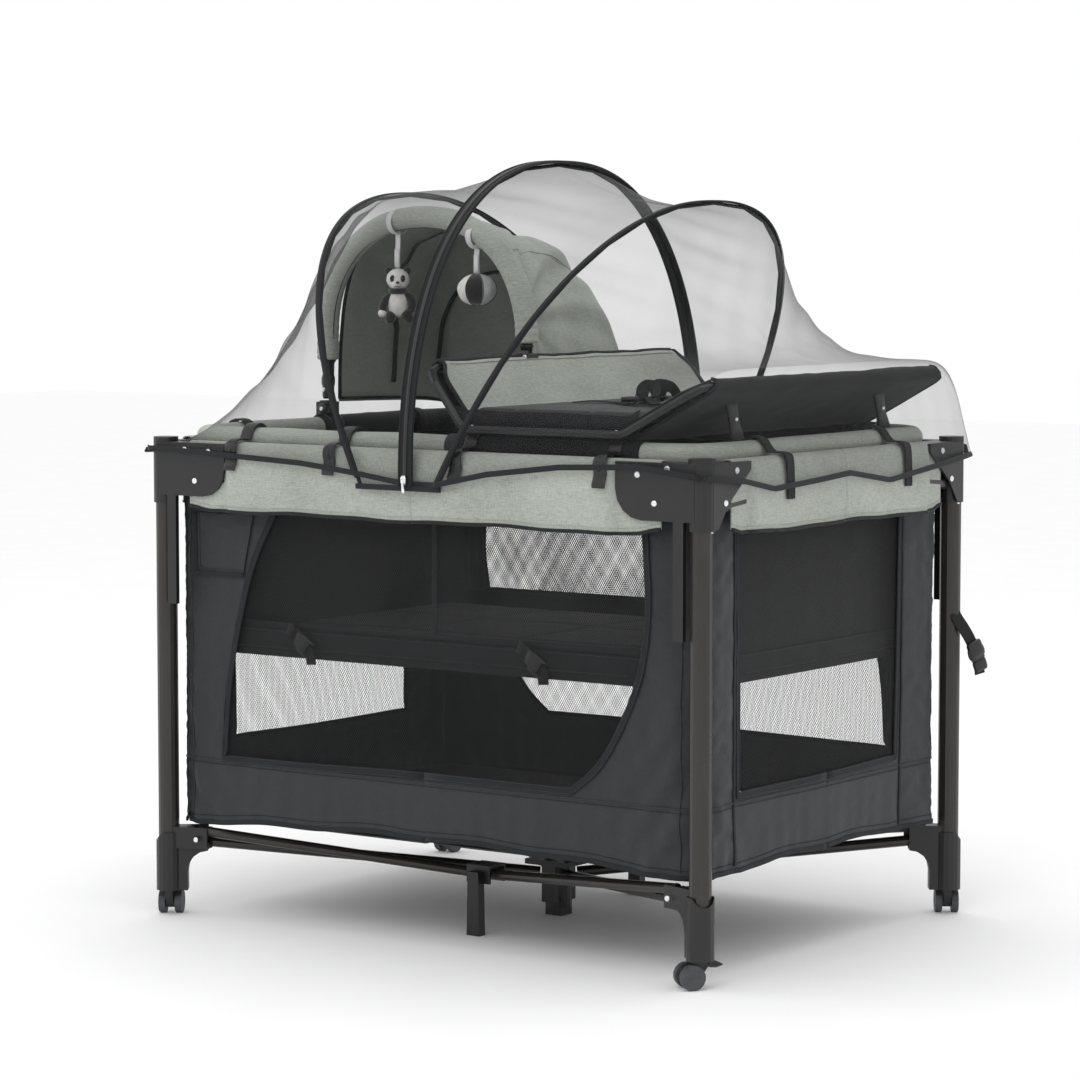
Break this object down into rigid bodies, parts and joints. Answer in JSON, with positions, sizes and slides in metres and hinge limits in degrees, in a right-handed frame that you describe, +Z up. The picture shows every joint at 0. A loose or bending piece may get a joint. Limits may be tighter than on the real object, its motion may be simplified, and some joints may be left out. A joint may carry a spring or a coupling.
{
  "type": "travel play yard",
  "caption": "Folding baby play yard: tube frame on casters, fabric tub with mesh windows, hung bassinet, changer tray, hood with toy bar, hooped insect net.",
  "frame": {"origin": "centre of the hub foot's flat underside, on the floor, at the middle of the four legs", "axes": "+X along the long side to the changer end, +Y to the rear long side, +Z up"},
  "size_m": [1.0732, 0.7992, 1.1956],
  "materials": {
    "dark_tube": "dark brown-black powder coat, semi-matt",
    "wheel_grey": "dark grey nylon",
    "grey_tube": "grey paint",
    "charcoal_cloth": "woven polyester, matt",
    "sage_cloth": "sage melange weave",
    "net_black": "fine black net",
    "plush_white": "short plush",
    "black_plastic": "fine-grained black plastic"
  },
  "bodies": {
    "leg_fl": {"leg_tube_fl": "dark_tube", "corner_fl": "black_plastic", "foot_fl": "black_plastic"},
    "caster_fl": {"caster_fork_fl": "black_plastic"},
    "wheels_fl": {"caster_wheels_fl": "wheel_grey"},
    "arm_fl": {"arm_fl": "dark_tube"},
    "floor_link_fl": {"floor_link_fl": "dark_tube"},
    "rail_long_fl": {"rail_long_fl": "dark_tube"},
    "rail_short_fl": {"rail_short_fl": "dark_tube"},
    "leg_fr": {"leg_tube_fr": "dark_tube", "corner_fr": "black_plastic", "foot_fr": "black_plastic"},
    "caster_fr": {"caster_fork_fr": "black_plastic"},
    "wheels_fr": {"caster_wheels_fr": "wheel_grey"},
    "arm_fr": {"arm_fr": "dark_tube"},
    "floor_link_fr": {"floor_link_fr": "dark_tube"},
    "rail_long_fr": {"rail_long_fr": "dark_tube"},
    "rail_short_fr": {"rail_short_fr": "dark_tube"},
    "leg_rr": {"leg_tube_rr": "dark_tube", "corner_rr": "black_plastic", "foot_rr": "black_plastic"},
    "caster_rr": {"caster_fork_rr": "black_plastic"},
    "wheels_rr": {"caster_wheels_rr": "wheel_grey"},
    "arm_rr": {"arm_rr": "dark_tube"},
    "floor_link_rr": {"floor_link_rr": "dark_tube"},
    "rail_long_rr": {"rail_long_rr": "dark_tube"},
    "rail_short_rr": {"rail_short_rr": "dark_tube"},
    "leg_rl": {"leg_tube_rl": "dark_tube", "corner_rl": "black_plastic", "foot_rl": "black_plastic", "yard_fabric": "charcoal_cloth"},
    "caster_rl": {"caster_fork_rl": "black_plastic"},
    "wheels_rl": {"caster_wheels_rl": "wheel_grey"},
    "arm_rl": {"arm_rl": "dark_tube"},
    "floor_link_rl": {"floor_link_rl": "dark_tube"},
    "rail_long_rl": {"rail_long_rl": "dark_tube"},
    "rail_short_rl": {"rail_short_rl": "dark_tube"},
    "brake_fr": {"brake_lever_fr": "black_plastic"},
    "hub": {"hub_body": "black_plastic"},
    "hub_pull": {"hub_pull": "black_plastic"},
    "mid_foot_front": {"mid_foot_front": "black_plastic"},
    "mid_foot_rear": {"mid_foot_rear": "black_plastic"},
    "rail_latch_front": {"rail_latch_front": "black_plastic"},
    "rail_latch_rear": {"rail_latch_rear": "black_plastic"},
    "rail_latch_left": {"rail_latch_left": "black_plastic"},
    "rail_latch_right": {"rail_latch_right": "black_plastic"},
    "bassinet": {"bassinet_rim": "sage_cloth", "bassinet_fabric": "charcoal_cloth", "hood_clamp_left": "black_plastic"},
    "mattress": {"mattress": "charcoal_cloth"},
    "changer": {"changer_frame": "grey_tube", "changer_fabric": "sage_cloth", "hood_clamp_right": "black_plastic"},
    "toy_bar": {"toy_bar": "sage_cloth"},
    "toy_plush": {"toy_plush": "plush_white"},
    "toy_ball": {"toy_ball": "plush_white"},
    "hood": {"hood": "sage_cloth"},
    "net": {"net_frame": "net_black", "net_skin": "net_black"}
  },
  "joints": [
    {"name": "frame_fold", "type": "hinge", "parent": "leg_rl", "child": "arm_rl", "pos_m": [-0.45938, 0.32984, 0.118], "axis": [-0.5832, -0.8123, 0], "range_deg": [0, 80], "deforming": ["yard_fabric"]},
    {"name": "hub_level", "type": "hinge", "parent": "arm_rl", "child": "hub", "pos_m": [-0.02843, 0.02041, 0.068], "axis": [0.5832, 0.8123, 0], "range_deg": [0, 80]},
    {"name": "arm_fl_fold", "type": "hinge", "parent": "hub", "child": "arm_fl", "pos_m": [-0.02843, -0.02041, 0.068], "axis": [0.5832, -0.8123, 0], "range_deg": [0, 80]},
    {"name": "leg_fl_level", "type": "hinge", "parent": "arm_fl", "child": "leg_fl", "pos_m": [-0.45938, -0.32984, 0.118], "axis": [-0.5832, 0.8123, 0], "range_deg": [0, 80]},
    {"name": "arm_fr_fold", "type": "hinge", "parent": "hub", "child": "arm_fr", "pos_m": [0.02843, -0.02041, 0.068], "axis": [0.5832, 0.8123, 0], "range_deg": [0, 80]},
    {"name": "leg_fr_level", "type": "hinge", "parent": "arm_fr", "child": "leg_fr", "pos_m": [0.45938, -0.32984, 0.118], "axis": [-0.5832, -0.8123, 0], "range_deg": [0, 80]},
    {"name": "arm_rr_fold", "type": "hinge", "parent": "hub", "child": "arm_rr", "pos_m": [0.02843, 0.02041, 0.068], "axis": [-0.5832, 0.8123, 0], "range_deg": [0, 80]},
    {"name": "leg_rr_level", "type": "hinge", "parent": "arm_rr", "child": "leg_rr", "pos_m": [0.45938, 0.32984, 0.118], "axis": [0.5832, -0.8123, 0], "range_deg": [0, 80]},
    {"name": "rail_long_fl_fold", "type": "hinge", "parent": "leg_fl", "child": "rail_long_fl", "pos_m": [-0.448, -0.363, 0.686], "axis": [0, 1, 0], "range_deg": [0, 80]},
    {"name": "rail_short_fl_fold", "type": "hinge", "parent": "leg_fl", "child": "rail_short_fl", "pos_m": [-0.504, -0.324, 0.686], "axis": [-1, 0, 0], "range_deg": [0, 80]},
    {"name": "floor_link_fl_fold", "type": "hinge", "parent": "leg_fl", "child": "floor_link_fl", "pos_m": [-0.44425, -0.3406, 0.1355], "axis": [0.3134, -0.9496, 0], "range_deg": [0, 80]},
    {"name": "rail_long_fr_fold", "type": "hinge", "parent": "leg_fr", "child": "rail_long_fr", "pos_m": [0.448, -0.363, 0.686], "axis": [0, -1, 0], "range_deg": [0, 80]},
    {"name": "rail_short_fr_fold", "type": "hinge", "parent": "leg_fr", "child": "rail_short_fr", "pos_m": [0.504, -0.324, 0.686], "axis": [-1, 0, 0], "range_deg": [0, 80]},
    {"name": "floor_link_fr_fold", "type": "hinge", "parent": "leg_fr", "child": "floor_link_fr", "pos_m": [0.44425, -0.3406, 0.1355], "axis": [0.3134, 0.9496, 0], "range_deg": [0, 80]},
    {"name": "rail_long_rr_fold", "type": "hinge", "parent": "leg_rr", "child": "rail_long_rr", "pos_m": [0.448, 0.363, 0.686], "axis": [0, -1, 0], "range_deg": [0, 80]},
    {"name": "rail_short_rr_fold", "type": "hinge", "parent": "leg_rr", "child": "rail_short_rr", "pos_m": [0.504, 0.324, 0.686], "axis": [1, 0, 0], "range_deg": [0, 80]},
    {"name": "floor_link_rr_fold", "type": "hinge", "parent": "leg_rr", "child": "floor_link_rr", "pos_m": [0.44425, 0.3406, 0.1355], "axis": [-0.3134, 0.9496, 0], "range_deg": [0, 80]},
    {"name": "rail_long_rl_fold", "type": "hinge", "parent": "leg_rl", "child": "rail_long_rl", "pos_m": [-0.448, 0.363, 0.686], "axis": [0, 1, 0], "range_deg": [0, 80]},
    {"name": "rail_short_rl_fold", "type": "hinge", "parent": "leg_rl", "child": "rail_short_rl", "pos_m": [-0.504, 0.324, 0.686], "axis": [1, 0, 0], "range_deg": [0, 80]},
    {"name": "floor_link_rl_fold", "type": "hinge", "parent": "leg_rl", "child": "floor_link_rl", "pos_m": [-0.44425, 0.3406, 0.1355], "axis": [-0.3134, -0.9496, 0], "range_deg": [0, 80]},
    {"name": "rail_latch_front_level", "type": "hinge", "parent": "rail_long_fl", "child": "rail_latch_front", "pos_m": [-0.01705, -0.363, 0.72662], "axis": [0, -1, 0], "range_deg": [0, 80]},
    {"name": "rail_latch_rear_level", "type": "hinge", "parent": "rail_long_rl", "child": "rail_latch_rear", "pos_m": [-0.01705, 0.363, 0.72662], "axis": [0, -1, 0], "range_deg": [0, 80]},
    {"name": "rail_latch_left_level", "type": "hinge", "parent": "rail_short_fl", "child": "rail_latch_left", "pos_m": [-0.504, -0.01457, 0.71516], "axis": [1, 0, 0], "range_deg": [0, 80]},
    {"name": "rail_latch_right_level", "type": "hinge", "parent": "rail_short_fr", "child": "rail_latch_right", "pos_m": [0.504, -0.01457, 0.71516], "axis": [1, 0, 0], "range_deg": [0, 80]},
    {"name": "mid_foot_front_level", "type": "hinge", "parent": "floor_link_fl", "child": "mid_foot_front", "pos_m": [-0.01329, -0.19839, 0.09273], "axis": [-0.3134, 0.9496, 0], "range_deg": [0, 80]},
    {"name": "mid_foot_rear_level", "type": "hinge", "parent": "floor_link_rl", "child": "mid_foot_rear", "pos_m": [-0.01329, 0.19839, 0.09273], "axis": [0.3134, 0.9496, 0], "range_deg": [0, 80]},
    {"name": "caster_fl_swivel", "type": "hinge", "parent": "leg_fl", "child": "caster_fl", "pos_m": [-0.5, -0.359, 0.04], "axis": [0, 0, 1], "continuous": true},
    {"name": "wheels_fl_spin", "type": "hinge", "parent": "caster_fl", "child": "wheels_fl", "pos_m": [-0.50797, -0.34513, 0.0185], "axis": [-0.867, -0.4983, 0], "continuous": true},
    {"name": "caster_fr_swivel", "type": "hinge", "parent": "leg_fr", "child": "caster_fr", "pos_m": [0.5, -0.359, 0.04], "axis": [0, 0, 1], "continuous": true},
    {"name": "wheels_fr_spin", "type": "hinge", "parent": "caster_fr", "child": "wheels_fr", "pos_m": [0.4904, -0.3718, 0.0185], "axis": [0.8, -0.6, 0], "continuous": true},
    {"name": "brake_fr_press", "type": "hinge", "parent": "caster_fr", "child": "brake_fr", "pos_m": [0.509, -0.347, 0.033], "axis": [-0.8, 0.6, 0], "range_deg": [0, 15]},
    {"name": "caster_rr_swivel", "type": "hinge", "parent": "leg_rr", "child": "caster_rr", "pos_m": [0.5, 0.359, 0.04], "axis": [0, 0, 1], "continuous": true},
    {"name": "wheels_rr_spin", "type": "hinge", "parent": "caster_rr", "child": "wheels_rr", "pos_m": [0.49068, 0.37201, 0.0185], "axis": [-0.8131, -0.5822, 0], "continuous": true},
    {"name": "caster_rl_swivel", "type": "hinge", "parent": "leg_rl", "child": "caster_rl", "pos_m": [-0.5, 0.359, 0.04], "axis": [0, 0, 1], "continuous": true},
    {"name": "wheels_rl_spin", "type": "hinge", "parent": "caster_rl", "child": "wheels_rl", "pos_m": [-0.5, 0.375, 0.0185], "axis": [-1, 0, 0], "continuous": true},
    {"name": "hub_pull_lift", "type": "slide", "parent": "hub", "child": "hub_pull", "axis": [0, 0, 1], "range_m": [0, 0.012]},
    {"name": "upper_set_lift", "type": "slide", "parent": "hub", "child": "bassinet", "axis": [0, 0, 1], "range_m": [0, 0.42]},
    {"name": "mattress_lift", "type": "slide", "parent": "bassinet", "child": "mattress", "axis": [0, 0, 1], "range_m": [0, 0.25]},
    {"name": "net_lift", "type": "slide", "parent": "bassinet", "child": "net", "axis": [0, 0, 1], "range_m": [0, 0.5], "deforming": ["net_skin"]},
    {"name": "changer_lift", "type": "slide", "parent": "bassinet", "child": "changer", "axis": [0, 0, 1], "range_m": [0, 0.2]},
    {"name": "toy_bar_tilt", "type": "hinge", "parent": "changer", "child": "toy_bar", "pos_m": [0.003, -0.088, 0.8975], "axis": [0.9644, -0.1906, 0.1834], "range_deg": [0, 35]},
    {"name": "hood_fold", "type": "hinge", "parent": "changer", "child": "hood", "pos_m": [0.003, -0.088, 0.8975], "axis": [0.9644, -0.1906, 0.1834], "range_deg": [-55, 0], "deforming": ["hood"]},
    {"name": "toy_plush_swing", "type": "hinge", "parent": "toy_bar", "child": "toy_plush", "pos_m": [-0.29484, -0.02913, 1.0735], "axis": [0.981, -0.1939, 0], "range_deg": [-20, 20]},
    {"name": "toy_ball_swing", "type": "hinge", "parent": "toy_bar", "child": "toy_ball", "pos_m": [-0.11041, -0.06558, 1.051], "axis": [0.981, -0.1939, 0], "range_deg": [-20, 20]}
  ],
  "couplings": [
    {"joint": "hub_level", "follows": "frame_fold", "ratio": 1},
    {"joint": "arm_fl_fold", "follows": "frame_fold", "ratio": 1},
    {"joint": "leg_fl_level", "follows": "frame_fold", "ratio": 1},
    {"joint": "arm_fr_fold", "follows": "frame_fold", "ratio": 1},
    {"joint": "leg_fr_level", "follows": "frame_fold", "ratio": 1},
    {"joint": "arm_rr_fold", "follows": "frame_fold", "ratio": 1},
    {"joint": "leg_rr_level", "follows": "frame_fold", "ratio": 1},
    {"joint": "rail_long_fl_fold", "follows": "frame_fold", "ratio": 1},
    {"joint": "rail_short_fl_fold", "follows": "frame_fold", "ratio": 1},
    {"joint": "floor_link_fl_fold", "follows": "frame_fold", "ratio": 1},
    {"joint": "rail_long_fr_fold", "follows": "frame_fold", "ratio": 1},
    {"joint": "rail_short_fr_fold", "follows": "frame_fold", "ratio": 1},
    {"joint": "floor_link_fr_fold", "follows": "frame_fold", "ratio": 1},
    {"joint": "rail_long_rr_fold", "follows": "frame_fold", "ratio": 1},
    {"joint": "rail_short_rr_fold", "follows": "frame_fold", "ratio": 1},
    {"joint": "floor_link_rr_fold", "follows": "frame_fold", "ratio": 1},
    {"joint": "rail_long_rl_fold", "follows": "frame_fold", "ratio": 1},
    {"joint": "rail_short_rl_fold", "follows": "frame_fold", "ratio": 1},
    {"joint": "floor_link_rl_fold", "follows": "frame_fold", "ratio": 1},
    {"joint": "rail_latch_front_level", "follows": "frame_fold", "ratio": 1},
    {"joint": "rail_latch_rear_level", "follows": "frame_fold", "ratio": 1},
    {"joint": "rail_latch_left_level", "follows": "frame_fold", "ratio": 1},
    {"joint": "rail_latch_right_level", "follows": "frame_fold", "ratio": 1},
    {"joint": "mid_foot_front_level", "follows": "frame_fold", "ratio": 1},
    {"joint": "mid_foot_rear_level", "follows": "frame_fold", "ratio": 1},
    {"joint": "upper_set_lift", "follows": "frame_fold", "m_per_rad": 0.28648},
    {"joint": "changer_lift", "follows": "net_lift", "ratio": 0.4}
  ]
}
